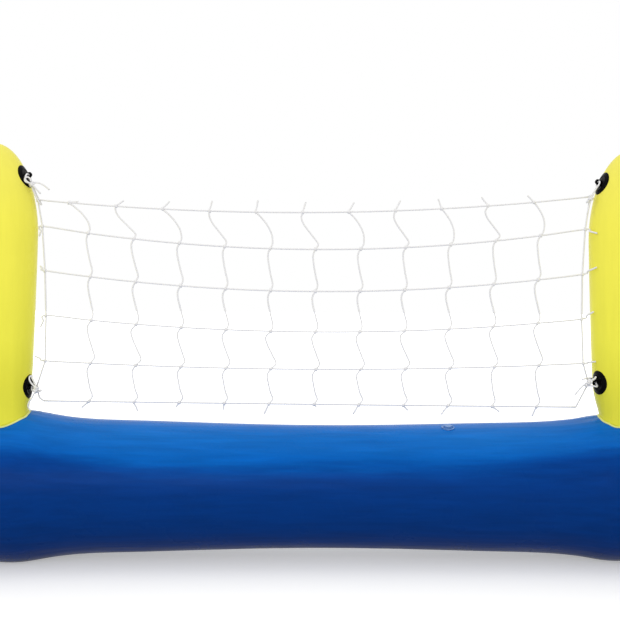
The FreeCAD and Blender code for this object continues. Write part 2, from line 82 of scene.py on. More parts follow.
# %% [markdown]
# ## The camera
# The picture was taken square on, from a little above the net's middle, so upright lines stay upright. A level camera
# with a small upward shift keeps them so. A tilted camera would make the posts lean together.

# %% Set up the camera
CAMERA_DISTANCE = 1.638
CAMERA_HEIGHT = 0.520
PHOTO_SIDE = 620
FOCAL_PIXELS = 868.5
SENSOR = 36.0
HORIZON_ROW = 279.3
MIDDLE_COLUMN = 315.2
CAMERA_YAW = math.radians(1.2)      # towards the right post
CAMERA_ROLL = math.radians(0.45)


def new_object(name, data):
    """An object that stands in the scene."""
    thing = bpy.data.objects.new(name, data)
    bpy.context.scene.collection.objects.link(thing)
    return thing


camera_data = bpy.data.cameras.new("camera")
camera_data.sensor_width = SENSOR
camera_data.lens = FOCAL_PIXELS * SENSOR / PHOTO_SIDE
camera_data.shift_y = (HORIZON_ROW - PHOTO_SIDE / 2) / PHOTO_SIDE
camera_data.clip_end = 50
camera = new_object("camera", camera_data)
middle_angle = math.atan((MIDDLE_COLUMN - PHOTO_SIDE / 2) / FOCAL_PIXELS)
camera_x = -CAMERA_DISTANCE * math.tan(CAMERA_YAW + middle_angle)
view = Matrix.Translation((camera_x, -CAMERA_DISTANCE, CAMERA_HEIGHT))
for angle, axis in ((-CAMERA_YAW, "Z"), (math.pi / 2, "X"), (CAMERA_ROLL, "Z")):
    view = view @ Matrix.Rotation(angle, 4, axis)
camera.matrix_world = view
bpy.context.scene.camera = camera
bpy.context.scene.view_settings.view_transform = "Standard"
print(f"lens {camera_data.lens:.1f} mm, shift {camera_data.shift_y:.3f}, x {camera_x:.3f}")

# %% [markdown]
# ## Making a piece
# Most pieces here are meshes that are drawn by code: rings of points are placed first, and faces join each ring to the
# next. Modelling them by hand would do as well, but rings keep every size in a named value. A finished piece is shaded
# smooth and rides on the set's fixed body, as its solid does in the frame.

# %% Helpers that make pieces
def new_piece(name, build, material):
    """Turn a bmesh into a smooth piece that rides on the set's fixed body."""
    mesh = bpy.data.meshes.new(name)
    build.to_mesh(mesh)
    build.free()
    mesh.materials.append(material)
    for face in mesh.polygons:
        face.use_smooth = True
    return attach(new_object(name, mesh), SET_BODY)


def around(count):
    """The angles of points evenly round a circle."""
    return [2 * math.pi * k / count for k in range(count)]


def join_rings(build, rings, closed=False):
    """Faces from each ring of points to the next, and from the last to the first if closed."""
    for near, far in zip(rings, rings[1:] + rings[:1] if closed else rings[1:]):
        for k in range(len(near)):
            m = (k + 1) % len(near)
            build.faces.new((near[k], near[m], far[m], far[k]))


# %% [markdown]
# ## Cords as swept meshes
# A braided cord is a round tube along a smooth line. A curve with a bevel would draw it, but a swept mesh also carries
# a map of how far along and how far round each point is, and the braid is drawn in that map.

# %% Helpers that sweep a cord along a line
RING = 10                # points round a cord
CUT_END_DEPTH = 0.35     # how far a cut end is rounded off, in radii


def smooth_line(points, steps=6):
    """A line through all the points, bent evenly between them."""
    line = []
    padded = [2 * points[0] - points[1]] + list(points) + [2 * points[-1] - points[-2]]
    for a, b, c, d in zip(padded, padded[1:], padded[2:], padded[3:]):
        for i in range(steps):
            t = i / steps
            line.append(0.5 * (2 * b + (c - a) * t + (2 * a - 5 * b + 4 * c - d) * t * t
                               + (3 * b - a - 3 * c + d) * t * t * t))
    return line + [points[-1]]


def guided_line(name, points):
    """The line of a NURBS spline that the points pull towards themselves."""
    curve = bpy.data.curves.new(name, "CURVE")
    curve.dimensions = "3D"
    curve.resolution_u = 8
    spline = curve.splines.new("NURBS")
    spline.points.add(len(points) - 1)
    for point, place in zip(spline.points, points):
        point.co = (*place, 1)
    spline.order_u = 3
    spline.use_endpoint_u = True
    holder = bpy.data.objects.new(name, curve)
    line = bpy.data.meshes.new_from_object(holder)
    places = [v.co.copy() for v in line.vertices]
    bpy.data.objects.remove(holder)
    bpy.data.meshes.remove(line)
    return places


def sweep(build, line, radius):
    """Add one round cord to a bmesh, with rounded-off cut ends."""
    uv = build.loops.layers.uv.verify()
    tangent = (line[1] - line[0]).normalized()
    side = tangent.orthogonal().normalized()
    rings, lengths, run = [], [], 0.0
    for i, place in enumerate(line):
        ahead = line[min(i + 1, len(line) - 1)] - line[max(i - 1, 0)]
        if ahead.length > 0:
            tangent = ahead.normalized()
        side = (side - tangent * side.dot(tangent)).normalized()
        other = tangent.cross(side)
        if i:
            run += (place - line[i - 1]).length
        ways = [side * math.cos(a) + other * math.sin(a) for a in around(RING)]
        rings.append([build.verts.new(place + way * radius) for way in ways])
        lengths.append(run / (2 * radius))
    for i in range(len(rings) - 1):
        for k in range(RING):
            m = (k + 1) % RING
            face = build.faces.new((rings[i][k], rings[i][m], rings[i + 1][m], rings[i + 1][k]))
            turns = [k / RING, (k + 1) / RING, (k + 1) / RING, k / RING]
            along = [lengths[i], lengths[i], lengths[i + 1], lengths[i + 1]]
            for loop, u, v in zip(face.loops, turns, along):
                loop[uv].uv = (u, v)
    for ring, place, way in ((rings[0], line[0], line[0] - line[1]), (rings[-1], line[-1], line[-1] - line[-2])):
        tip = build.verts.new(place + way.normalized() * radius * CUT_END_DEPTH)
        for k in range(RING):
            pair = (ring[(k + 1) % RING], ring[k]) if ring is rings[0] else (ring[k], ring[(k + 1) % RING])
            build.faces.new((*pair, tip))


def cord_piece(name, lines, radius, material):
    """One mesh that holds one or more swept cords."""
    build = bmesh.new()
    for line in lines:
        sweep(build, line, radius)
    return new_piece(name, build, material)


# %% [markdown]
# ## Finishes
# Three finishes make the set. The film is soft vinyl, glossy but a little uneven, so its highlight breaks up. The cord
# is braided, which shows as a fine criss-cross. The mouldings are satin black. Each is drawn from noise and waves, so
# it has no seams and needs no pictures.

# %% Node helpers
def feed(node, inputs):
    """Give a node its inputs: sockets are linked, a node gives its first output, and a plain value is set."""
    for key, value in inputs.items():
        if isinstance(value, bpy.types.Node):
            value = value.outputs[0]
        if isinstance(value, bpy.types.NodeSocket):
            node.id_data.links.new(value, node.inputs[key])
        else:
            node.inputs[key].default_value = value
    return node


def node_adder(tree):
    """A function that adds one node to a tree and feeds it."""
    def add(kind, inputs=None, **settings):
        node = tree.nodes.new("ShaderNode" + kind)
        for key, value in settings.items():
            setattr(node, key, value)
        return feed(node, inputs or {})

    return add


def new_material(name):
    """A material, its empty shader, and a function that adds nodes to it."""
    material = bpy.data.materials.new(name)
    material.use_nodes = True
    return material, material.node_tree.nodes["Principled BSDF"], node_adder(material.node_tree)


def colour_ramp(add, fac, stops):
    """A colour ramp from (position, colour) pairs."""
    ramp = add("ValToRGB", {"Fac": fac})
    elements = ramp.color_ramp.elements
    while len(elements) < len(stops):
        elements.new(0.5)
    for element, (position, colour) in zip(elements, stops):
        element.position = position
        element.color = (*colour, 1)
    return ramp


def maths(add, operation, *values):
    """A node of arithmetic."""
    return add("Math", dict(enumerate(values)), operation=operation)


def cloud(add, place, scale, detail, roughness=0.5):
    """A noise texture."""
    return add("TexNoise", {"Vector": place, "Scale": scale, "Detail": detail, "Roughness": roughness})


def remap(add, value, old, new=(0.0, 1.0), **settings):
    """Carry a value from one range to another."""
    return add("MapRange", {"Value": value, "From Min": old[0], "From Max": old[1], "To Min": new[0],
                            "To Max": new[1]}, **settings)


def seen_rays(add):
    """1 for what is seen, by the camera, in gloss or through clear plastic, and 0 for what is only lit."""
    path = add("LightPath")
    seen = path.outputs["Is Camera Ray"]
    for kind in ("Is Glossy Ray", "Is Transmission Ray"):
        seen = maths(add, "MAXIMUM", seen, path.outputs[kind])
    return seen


# %% [markdown]
# Vinyl film is rolled out between hot cylinders, which leaves faint streaks along the roll, so one noise is stretched
# in that direction. Shade is painted into the colour. It goes with height: darker low on a chamber, where less light
# comes through from behind. The blue tube is also painted deeper towards the posts, where they shade it. Two sizes of
# bump keep the highlight from being a straight stripe: slow swells, as on any inflated film, and a very fine grain. The
# specular level is low, because soft vinyl has a dull bloom on it.

# %% Film and weld strips
SHADE_EDGE_WANDER = 0.045                  # how far the edge of the painted shade wanders up and down, in metres
POST_SHADE_FROM_TO = 0.28, 0.56    # from the middle of the set: there the blue is painted deeper towards the posts, as the shade they cast on the tube
SOFT_SPECULAR = 0.035


def film_material(name, stops, low, high, roll, roughness=0.28, swell=0.2, streak=0.05, post_shade_depth=0.0):
    """Soft vinyl whose colour carries painted shade: it changes from low to high above the floor and can deepen towards
    the posts, with streaks along the roll.
    """
    material, shader, add = new_material(name)
    place = add("TexCoord").outputs["Object"]
    along_roll = add("Mapping", {"Vector": place, "Scale": roll})
    parts = add("SeparateXYZ", {"Vector": place})
    # painted shade by height: the colour darkens lower down, and noise makes the edge of that shade wander
    lift = maths(add, "MULTIPLY_ADD", maths(add, "SUBTRACT", cloud(add, along_roll, 3.0, 5.0, 0.6), 0.5), SHADE_EDGE_WANDER,
                 parts.outputs["Z"])
    # painted shade near the posts: the film is made darker towards them, as their shadow on it
    painted_post_shade = remap(add, maths(add, "ABSOLUTE", parts.outputs["X"]), POST_SHADE_FROM_TO, (0.0, post_shade_depth),
                      interpolation_type="SMOOTHSTEP")
    ramp = colour_ramp(add, remap(add, maths(add, "SUBTRACT", lift, painted_post_shade), (low, high)), stops)
    depth = remap(add, cloud(add, along_roll, 11.0, 5.0, 0.6), (0.3, 0.7), (1 - streak, 1 + streak))
    tint = add("VectorMath", {0: ramp, "Scale": depth}, operation="SCALE")
    rough = remap(add, cloud(add, place, 14.0, 3.0), (0.3, 0.7), (roughness - 0.04, roughness + 0.06))
    broad = add("Bump", {"Height": cloud(add, along_roll, 6.0, 2.0), "Strength": swell, "Distance": 0.006})
    fine = add("Bump", {"Height": cloud(add, place, 900.0, 2.0), "Strength": 0.10, "Distance": 0.0003,
                        "Normal": broad})
    feed(shader, {"Base Color": tint, "Roughness": rough, "Normal": fine, "IOR": 1.53,
                  "Specular IOR Level": SOFT_SPECULAR})
    return material


# These stops paint shade into the blue: deep navy low on a chamber, lighter towards the crest.
BLUE_SHADE_STOPS = [(0.0, (0.0003, 0.030, 0.175)), (0.476, (0.0003, 0.035, 0.205)), (0.586, (0.0003, 0.043, 0.242)),
              (0.643, (0.0003, 0.062, 0.310)), (0.700, (0.0012, 0.106, 0.445)), (0.786, (0.003, 0.122, 0.475)),
              (0.881, (0.005, 0.138, 0.500)), (1.0, (0.011, 0.155, 0.530))]
# The yellow is painted darker towards the foot, as shade. At the dome's top it is painted dimmer, which evens out the
# stronger overhead light there, and paler, which paints its sheen.
YELLOW_SHADE_STOPS = [(0.0, (0.750, 0.720, 0.058)), (0.083, (0.820, 0.775, 0.062)), (0.244, (0.905, 0.853, 0.078)),
                (0.54, (0.930, 0.862, 0.092)), (0.70, (0.915, 0.845, 0.096)), (0.93, (0.835, 0.765, 0.115)),
                (1.0, (0.800, 0.730, 0.120))]
ROLL_ALONG_X = (0.7, 8.0, 8.0)
ROLL_ALONG_Y = (8.0, 0.7, 8.0)
ROLL_UPRIGHT = (8.0, 8.0, 0.7)
# the tube's film also gets the painted shade towards the posts
blue_film = film_material("blue_film", BLUE_SHADE_STOPS, 0.05, 0.26, ROLL_ALONG_X, streak=0.12, post_shade_depth=0.028)
blue_float_film = film_material("blue_float_film", BLUE_SHADE_STOPS, 0.05, 0.26, ROLL_ALONG_Y)
yellow_film = film_material("yellow_film", YELLOW_SHADE_STOPS, 0.29, 0.77, ROLL_UPRIGHT, swell=0.12, streak=0.02)
blue_weld = film_material("blue_weld", BLUE_SHADE_STOPS, 0.08, 0.29, ROLL_ALONG_X, roughness=0.34)
# The pale weld is painted darker lower down, as shade.
pale_weld = film_material("pale_weld", [(0.0, (0.60, 0.66, 0.20)), (1.0, (0.78, 0.80, 0.30))], 0.22, 0.28,
                          ROLL_ALONG_X, roughness=0.34)
print("film finishes", blue_film.name, blue_float_film.name, yellow_film.name, blue_weld.name, pale_weld.name)

# %% [markdown]
# The cord's braid is two spirals that cross. The sweep's map gives the turn round the cord and the length along it, so
# a sine of their sum and one of their difference make the strands, and their product is the height of the bump. The
# same product paints shade into the colour: darker in the grooves between strands, lighter on their crossings. The
# eyelets are a plain satin moulding with a fine grain, and the valves are clear vinyl, slightly blue.

# %% Cord, mouldings and valves
BRAID_STRANDS = 4      # that turn each way round a cord
BRAID_PITCH = 1.1      # crossings for each cord thickness


def cord_material():
    """White braided cord, drawn in the sweep's map, with shade painted into the braid's grooves."""
    material, shader, add = new_material("white_cord")
    parts = add("SeparateXYZ", {"Vector": add("TexCoord").outputs["UV"]})
    turn = maths(add, "MULTIPLY", parts.outputs["X"], BRAID_STRANDS * 2 * math.pi)
    waves = []
    for way in (1, -1):
        phase = maths(add, "MULTIPLY_ADD", parts.outputs["Y"], way * BRAID_PITCH * 2 * math.pi, turn)
        waves.append(maths(add, "SINE", phase))
    braid = maths(add, "MULTIPLY", *waves)
    # painted shade: the braid's colour is darker where it is low, in the grooves, and lighter on the crossings
    ramp = colour_ramp(add, remap(add, braid, (-1.0, 1.0)),
                       [(0.0, (0.76, 0.75, 0.75)), (0.5, (0.80, 0.79, 0.79)), (1.0, (0.83, 0.82, 0.82))])
    bump = add("Bump", {"Height": braid, "Strength": 0.2, "Distance": 0.0002})
    feed(shader, {"Base Color": ramp, "Normal": bump, "Roughness": 0.75, "Sheen Weight": 0.2})
    return material


def plain_material(name, colour, grain_scale, grain_depth, values):
    """A moulded plastic with a fine grain and a little unevenness in its colour."""
    material, shader, add = new_material(name)
    place = add("TexCoord").outputs["Object"]
    ramp = colour_ramp(add, cloud(add, place, 60.0, 3.0), [(0.3, tuple(0.8 * c for c in colour)), (0.7, colour)])
    grain = cloud(add, place, grain_scale, 2.0)
    bump = add("Bump", {"Height": grain, "Strength": 0.3, "Distance": grain_depth})
    feed(shader, {"Base Color": ramp, "Normal": bump, **values})
    return material


white_cord = cord_material()
black_moulding = plain_material("black_moulding", (0.0022, 0.0022, 0.0026), 1200.0, 0.0002,
                                {"Roughness": 0.30, "Specular IOR Level": SOFT_SPECULAR})
clear_valve = plain_material("clear_valve", (0.16, 0.36, 0.78), 700.0, 0.0001,
                             {"Roughness": 0.10, "Transmission Weight": 0.25, "IOR": 1.45})
print("finishes", white_cord.name, black_moulding.name, clear_valve.name)

# %% [markdown]
# ## The lashings
# Each corner of the net is tied to its eyelet by one short length of cord. It starts at a cut end, passes through the
# knot, goes round the net's corner, back through the ear of the eyelet and ends in a second cut end. The points are
# those of the solid cord, measured from the middle of the ear's hole: towards the net, away from the viewer, and up.

# %% Ear holes and lashing routes
DOME_HEIGHT = 170 * MM
DOME_BASE = POST_TOP - DOME_HEIGHT
EYELET_HEIGHTS = {                  # of the patch's middle, over the floor
    "upper_left": POST_TOP - 62 * MM,
    "upper_right": POST_TOP - 64 * MM,
    "lower_left": CREST + 50 * MM,
    "lower_right": CREST + 64 * MM,
}
EYELET_TURNS = {"upper_left": 7, "upper_right": 4, "lower_left": 6, "lower_right": 14}   # degrees, towards the viewer
EYELET_THICKNESS = 2.2 * MM
EAR_HOLE_RADIUS = 3.2 * MM
EAR_HOLE_HEIGHT = EYELET_THICKNESS + 0.6 * MM + EAR_HOLE_RADIUS
CORD = 3.2 * MM
FLANK = [(0.2410, 0.066), (0.3929, 0.072), (0.6000, 0.078)]   # (height, radius): a post's flank is one arc
LASHING_ROUTES = {
    "upper_left": [(40, -6, -27.5), (30, -7, -18.5), (17, -8, -13.5), (8, -7.5, -17.5), (7.5, -4, -25), (14, 1, -42),
                   (21, 3.5, -54), (21, 12.5, -54), (15, 12.5, -44), (9.5, 9, -31), (7, 3, -18.5), (4.5, -1.5, -10),
                   (1.6, 3.9, -2.7), (-1.6, -3.9, 2.7), (-2, -12, -2), (-2.4, -17, -9), (2.5, -17.5, -15),
                   (9.5, -14, -18), (14, -12, -23), (24, -8, -35)],
    "upper_right": [(21, -3, -60), (18.5, -4, -46), (15, -4.5, -32), (8, -7, -15), (0.8, -10.1, -4.2),
                    (-1.4, -4, 2.7), (1.4, 4, -2.7), (3.6, -1.4, -10), (5.5, 3.5, -16), (10, 9.5, -27),
                    (19.5, 9.5, -38), (20.5, 0.3, -38.5), (21.5, -6, -37), (18, -10.5, -31.5)],
    "lower_left": [(1.5, -17, -42), (-3, -17, -35.5), (-2.3, -17, -28.5), (4, -17, -19.5), (11, -15, -4),
                   (9.5, -12, 6), (3, -10, 16), (-1, -3, 19), (0.7, 5.5, 12), (0.7, 5.5, 5), (-0.6, -5, -3.5),
                   (5, -9.5, -8), (12, -5, -9), (16, 4, -8), (12, 12.2, -7), (1, 12, -14)],
    "lower_right": [(39, 1, -24), (30.5, -1, -11.5), (20, -5, 0), (12, -9, 5), (4, -10, 9), (-0.2, -2.5, 12.5),
                    (1.4, 5.3, 5), (-1.3, -4.8, -3.5), (0.5, -11, -6.5), (9, -12, -4), (15.5, 0, -6), (16.5, 17, -7),
                    (10.5, 24.5, -5), (2.5, 23, 0), (1.5, 17, 5), (4, 11, 8), (12, 7, 8), (24, 3, 6)],
}
TIE_KNOTS = {                       # middle of the knot, and the way its turns advance, measured as the routes are
    "upper_left": ((8.5, -10.5, -17.0), (0.5, 0.0, -1.0)),
    "upper_right": ((16.0, -7.0, -31.0), (0.3, 0.0, -1.0)),
    "lower_left": ((10.5, -11.5, -1.5), (0.2, 0.0, 1.0)),
    "lower_right": ((14.0, -4.5, 1.5), (1.0, 0.0, -0.4)),
}
TIE_LOOPS = {                       # further strands of a knot, measured as the routes are
    "upper_left": [(7, -15, -16.5), (2.5, -16.5, -15.6), (-2.2, -17, -12.5), (-1.6, -17, -7.2), (3, -16.5, -5.6),
                   (7, -15.5, -8.6), (8, -14, -13)],
    "lower_left": [(10, -13, 0), (3.5, -13, 6), (-1.5, -12, 13), (-2.5, -9, 19.5), (0.5, -2, 20.5)],
}
TIE_KNOT_RADIUS = 4.2 * MM
TIE_KNOT_TURNS = 2.2
TIE_KNOT_PITCH = 0.95 * CORD
TIE_KNOT_CORD_RADIUS = 0.47 * CORD   # pulled tight


def circle_through(points):
    """Centre and radius of the circle through three (height, radius) points."""
    first, second, third = (np.array(p) for p in points)
    system = 2 * np.array([second - first, third - first])
    centre = np.linalg.solve(system, [second @ second - first @ first, third @ third - first @ first])
    return centre, float(np.linalg.norm(first - centre))


flank_centre, flank_radius = circle_through(FLANK)


def post_radius(z):
    """The radius of a post at a height."""
    if z >= DOME_BASE:
        share = min(1.0, (z - DOME_BASE) / DOME_HEIGHT)
        return POST_RADIUS * math.sqrt(max(0.0, 1 - share * share))
    way = 1 if flank_centre[1] < 0 else -1
    return float(flank_centre[1] + way * math.sqrt(flank_radius**2 - (z - flank_centre[0]) ** 2))


def post_normal(side, z):
    """The outward direction of a post's skin at a height, on the side of the net."""
    step = 1 * MM
    slope = (post_radius(z + step) - post_radius(z - step)) / (2 * step)
    return Vector((-side, 0, -slope)).normalized()


eyelets = {}
for name, z in EYELET_HEIGHTS.items():
    side = SIDES[name.split("_")[1]]
    turn = Matrix.Rotation(math.radians(side * EYELET_TURNS[name]), 3, "Z")
    foot = Vector((side * POST_X, 0, z)) + turn @ Vector((-side * post_radius(z), 0, 0))
    normal = turn @ post_normal(side, z)
    eyelets[name] = (side, foot, normal, foot + normal * EAR_HOLE_HEIGHT)
print("ear holes", {name: tuple(round(c, 4) for c in facts[3]) for name, facts in eyelets.items()})

# %% [markdown]
# The knot of a lashing is two tight turns round the strands that meet there. It is a short piece of its own on the
# cord, so the cord keeps one clean line from end to end.

# %% Lashings and their knots
def coil_line(centre, way, radius, turns, pitch, steps=14):
    """Turns of cord round a direction."""
    way = way.normalized()
    side = way.orthogonal().normalized()
    other = way.cross(side)
    line = []
    for i in range(int(turns * steps) + 1):
        angle = 2 * math.pi * i / steps
        along = (i / steps - turns / 2) * pitch
        line.append(centre + way * along + (side * math.cos(angle) + other * math.sin(angle)) * radius)
    return line


for name, route in LASHING_ROUTES.items():
    side, _, _, hole = eyelets[name]

    def place(a, b, c):
        return hole + Vector((-side * a, b, c)) * MM

    middle, (a, b, c) = TIE_KNOTS[name]
    turns = coil_line(place(*middle), Vector((-side * a, b, c)), TIE_KNOT_RADIUS, TIE_KNOT_TURNS,
                      TIE_KNOT_PITCH)
    loops = [smooth_line([place(*p) for p in TIE_LOOPS[name]])] if name in TIE_LOOPS else []
    knot = cord_piece(f"tie_knot_{name}", [turns] + loops, TIE_KNOT_CORD_RADIUS, white_cord)
    line = guided_line(f"lashing_{name}_line", [place(*p) for p in route])
    piece = cord_piece(f"lashing_cord_{name}", [line], CORD / 2, white_cord)
    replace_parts(piece, f"lashing_{name}")
    length = sum((b - a).length for a, b in zip(line, line[1:]))
    tuple(line[0])
    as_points(line)
    print(f"lashing {name}: {length * 1000:.0f} mm")

# %% [markdown]
# ## Film skins
# A blown-up chamber is a surface of revolution that its welds disturb: the film gathers into small folds where it is
# welded to the next chamber, and runs smooth between. A grid of points round and along the chamber, moved in and out
# by a fold function, gives both. A subdivided box would have to be pulled into shape, and a cylinder has no folds.

# %% Helpers for film skins
CREASE_SHARPNESS = 0.6      # under 1, the swells are broad and the creases between them narrow


def grid_piece(name, rings, material, caps):
    """A grid mesh from rings of points, closed at each end by a fan to the middle point that caps gives."""
    build = bmesh.new()
    verts = [[build.verts.new(p) for p in ring] for ring in rings]
    count = len(rings[0])
    join_rings(build, verts)
    for ring, middle, flip in zip((verts[0], verts[-1]), caps, (True, False)):
        tip = build.verts.new(middle)
        for k in range(count):
            m = (k + 1) % count
            build.faces.new((ring[m], ring[k], tip) if flip else (ring[k], ring[m], tip))
    bmesh.ops.recalc_face_normals(build, faces=build.faces)
    return new_piece(name, build, material)


def spline_through(points):
    """A smooth function through (place, value) pairs: a natural cubic spline."""
    x = np.array([p for p, _ in points], float)
    y = np.array([v for _, v in points], float)
    n, h = len(x), np.diff(x)
    system, right = np.eye(n), np.zeros(n)
    for i in range(1, n - 1):
        system[i, i - 1:i + 2] = h[i - 1], 2 * (h[i - 1] + h[i]), h[i]
        right[i] = 6 * ((y[i + 1] - y[i]) / h[i] - (y[i] - y[i - 1]) / h[i - 1])
    bend = np.linalg.solve(system, right)

    def value(place):
        i = int(np.clip(np.searchsorted(x, place) - 1, 0, n - 2))
        a, b = (x[i + 1] - place) / h[i], (place - x[i]) / h[i]
        return float(a * y[i] + b * y[i + 1] + ((a**3 - a) * bend[i] + (b**3 - b) * bend[i + 1]) * h[i]**2 / 6)

    return value


def on_floor(z, softness=0.0006):
    """A height that flattens smoothly on the floor."""
    return 0.5 * (z + math.sqrt(z * z + 4 * softness * softness))


def noise_at(*place):
    """Smooth noise from -1 to 1 at a place."""
    return noise.noise(Vector(place))


def fold(angle, count, seed):
    """Uneven folds round a weld: mostly shallow swells with a few narrow creases."""
    wander = noise_at(math.cos(angle) * 1.7, math.sin(angle) * 1.7, seed) * 2.4
    strength = 0.35 + 1.3 * abs(noise_at(math.cos(angle) * 3.1, math.sin(angle) * 3.1, seed + 7.0))
    return strength * (0.9 - 1.6 * abs(math.sin(count * angle + wander)) ** CREASE_SHARPNESS)


# %% [markdown]
# ## The base tube
# The tube is thinnest at mid-length and swells towards each post, which pulls its film up into the foot. The radius is
# a smooth curve through a few stations. Folds fan out from each post's weld and fade within a few centimetres, and
# finer ones gather at the floats.

# %% Base tube
TUBE_STATIONS = [(-920, 94.5), (-850, 109.3), (-800, 116.5), (-742, 123.5), (-697, 128.8), (-667, 133.6), (-601, 136.0),
                 (-535, 138.4), (-505, 133.6), (-460, 126.6), (-342, 120.4), (-209, 116.6), (0, 112.7), (209, 115.3),
                 (342, 118.5), (460, 123.0), (505, 128.3), (535, 133.2), (601, 135.0), (667, 133.2), (697, 128.8),
                 (742, 123.5), (800, 116.5), (850, 109.3), (920, 94.5)]
FOLD_SEEDS = {"tube_foot": 3.0, "tube_end": 11.0, "post_foot": 21.0, "float_end": 31.0}
FOOT_FOLDS, TUBE_END_FOLDS, FLOAT_FOLDS = 9, 15, 13          # round one weld
TUBE_FOOT_FOLD_DEPTH, TUBE_FOOT_FOLD_FADE, TUBE_FOOT_FOLD_RISE = 2.4 * MM, 32 * MM, 12 * MM
TUBE_END_FOLD_DEPTH, TUBE_END_FOLD_FADE = 1.3 * MM, 30 * MM
FOOT_FOLD_LIMIT, TUBE_END_FOLD_LIMIT = 260 * MM, 120 * MM     # past these the folds have faded
FOOT_RIM_WIDTH = 4.0 * MM
FOOT_REACHES = {      # by side: (degrees from the net's side towards the viewer, weld's distance from the axis in mm)
    -1: [(-180, 66), (-150, 66), (-90, 65), (-45, 63.5), (-20, 63.1), (0, 66.0), (21, 73.5), (38, 79), (52, 79),
         (66, 76), (90, 71), (150, 66), (180, 66)],
    1: [(-180, 66), (-150, 66), (-90, 62), (-45, 57), (-20, 55.4), (0, 58.5), (28, 69), (40, 71.4), (55, 70.4),
        (75, 67), (90, 65.5), (150, 66), (180, 66)],
}
TUBE_END_GUESS = 820 * MM
TUBE_END_OVERLAP = 1.5 * MM       # that the tube's skin runs on inside the float's
TUBE_ALONG = 460
TUBE_AROUND = 176
tube_radius_mm = spline_through(TUBE_STATIONS)
foot_reach_mm = {side: spline_through(stations) for side, stations in FOOT_REACHES.items()}


def tube_radius(x):
    """The tube's radius at a place along the set."""
    return tube_radius_mm(x / MM) * MM


def foot_reach(side, angle):
    """How far a post's weld is from the post's axis, in a direction on plan: the film pulls it out of round."""
    turned = math.degrees(math.atan2(-math.sin(angle), -side * math.cos(angle)))
    return foot_reach_mm[side](turned) * MM


def tube_fold(x, angle):
    """How far the tube's film stands out or in at a place: angle is 0 at the crest."""
    move = 0.0
    for side in SIDES.values():
        along = x - side * POST_X
        across = angle * tube_radius(x)
        far = math.hypot(along, across)
        if far < FOOT_FOLD_LIMIT:
            way = math.atan2(across, along)
            past = max(0.0, far - foot_reach(side, way) - FOOT_RIM_WIDTH)
            fade, rise = math.exp(-past / TUBE_FOOT_FOLD_FADE), min(1.0, past / TUBE_FOOT_FOLD_RISE)
            crease = fold(way, FOOT_FOLDS, FOLD_SEEDS["tube_foot"] + side) - 0.15
            move += TUBE_FOOT_FOLD_DEPTH * fade * rise * crease
    gap = float_entry(x, angle) - abs(x)
    if gap < TUBE_END_FOLD_LIMIT:
        fade = math.exp(-max(gap, 0.0) / TUBE_END_FOLD_FADE)
        seed = FOLD_SEEDS["tube_end"] + math.copysign(2, x)
        move += TUBE_END_FOLD_DEPTH * fade * fold(angle, TUBE_END_FOLDS, seed)
    return move


def float_entry(x, angle):
    """How far along the set the tube's skin meets the float's skin, with the tube's radius taken at x."""
    height = TUBE_AXIS_Z + tube_radius(abs(x)) * math.cos(angle) - FLOAT_AXIS_Z
    return FLOAT_X - math.sqrt(max(0.0, FLOAT_RADIUS**2 - height**2))


def tube_point(x, angle, lift=0.0):
    """A point of the tube's skin, lifted off it by lift."""
    r = tube_radius(x) + lift
    return Vector((x, -r * math.sin(angle), TUBE_AXIS_Z + r * math.cos(angle)))


def tube_end(angle):
    """How far along the set the tube's own end is: found from a guessed place first, and then from that result."""
    return float_entry(float_entry(TUBE_END_GUESS, angle), angle)


rings = []
for i in range(TUBE_ALONG + 1):
    share = 2 * i / TUBE_ALONG - 1
    ring = []
    for angle in around(TUBE_AROUND):
        angle = angle - 2 * math.pi if angle > math.pi else angle
        x = share * (tube_end(angle) + TUBE_END_OVERLAP)
        point = tube_point(x, angle, tube_fold(x, angle))
        point.z = on_floor(point.z)
        ring.append(point)
    rings.append(ring)
tube_skin = grid_piece("base_tube_skin", rings, blue_film,
                       [Vector((way * (FLOAT_X - FLOAT_RADIUS + 3 * MM), 0, TUBE_AXIS_Z)) for way in (-1, 1)])
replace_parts(tube_skin, "base_tube")
print("base tube", len(tube_skin.data.vertices), "points, middle radius", round(tube_radius(0), 4))

# %% [markdown]
# ## The posts
# Each post rises from a narrow foot, swells a little and closes in a long dome, like a bullet. The foot follows the
# tube's round back, so its weld is a saddle: low in front and behind, high on the net's side. A lap seam runs up the
# back, where the flat sheet was rolled into a tube.

# %% Posts
POST_ALONG = 150
POST_AROUND = 160
POST_CROWDING = 1.35                  # over 1, the rings of points lie closer towards the dome
POST_FOLD_DEPTH, POST_FOLD_FADE, POST_FOLD_RISE = 0.7 * MM, 40 * MM, 6 * MM
POST_FLARE, POST_FLARE_FADE = 1.0 * MM, 5 * MM
OUT_OF_ROUND_FADE = 30 * MM           # height in which the foot's own outline turns to the round post
LAP_SEAM_WIDTH = 9 * MM
LAP_SEAM_LIFT = 0.5 * MM
LAP_SEAM_RUN_OUT = 50 * MM            # under the top, where the seam fades
POST_SINK = 1.0 * MM                  # of the post's lowest ring into the tube's skin


def seam_height(x, y):
    """The height of the tube's skin at a place on plan."""
    return TUBE_AXIS_Z + math.sqrt(max(0.0, tube_radius(x) ** 2 - y * y))


def lap_seam(distance):
    """A low flat ridge with soft edges, across a seam."""
    return LAP_SEAM_LIFT / (1 + math.exp((abs(distance) - LAP_SEAM_WIDTH / 2) / (0.6 * MM)))


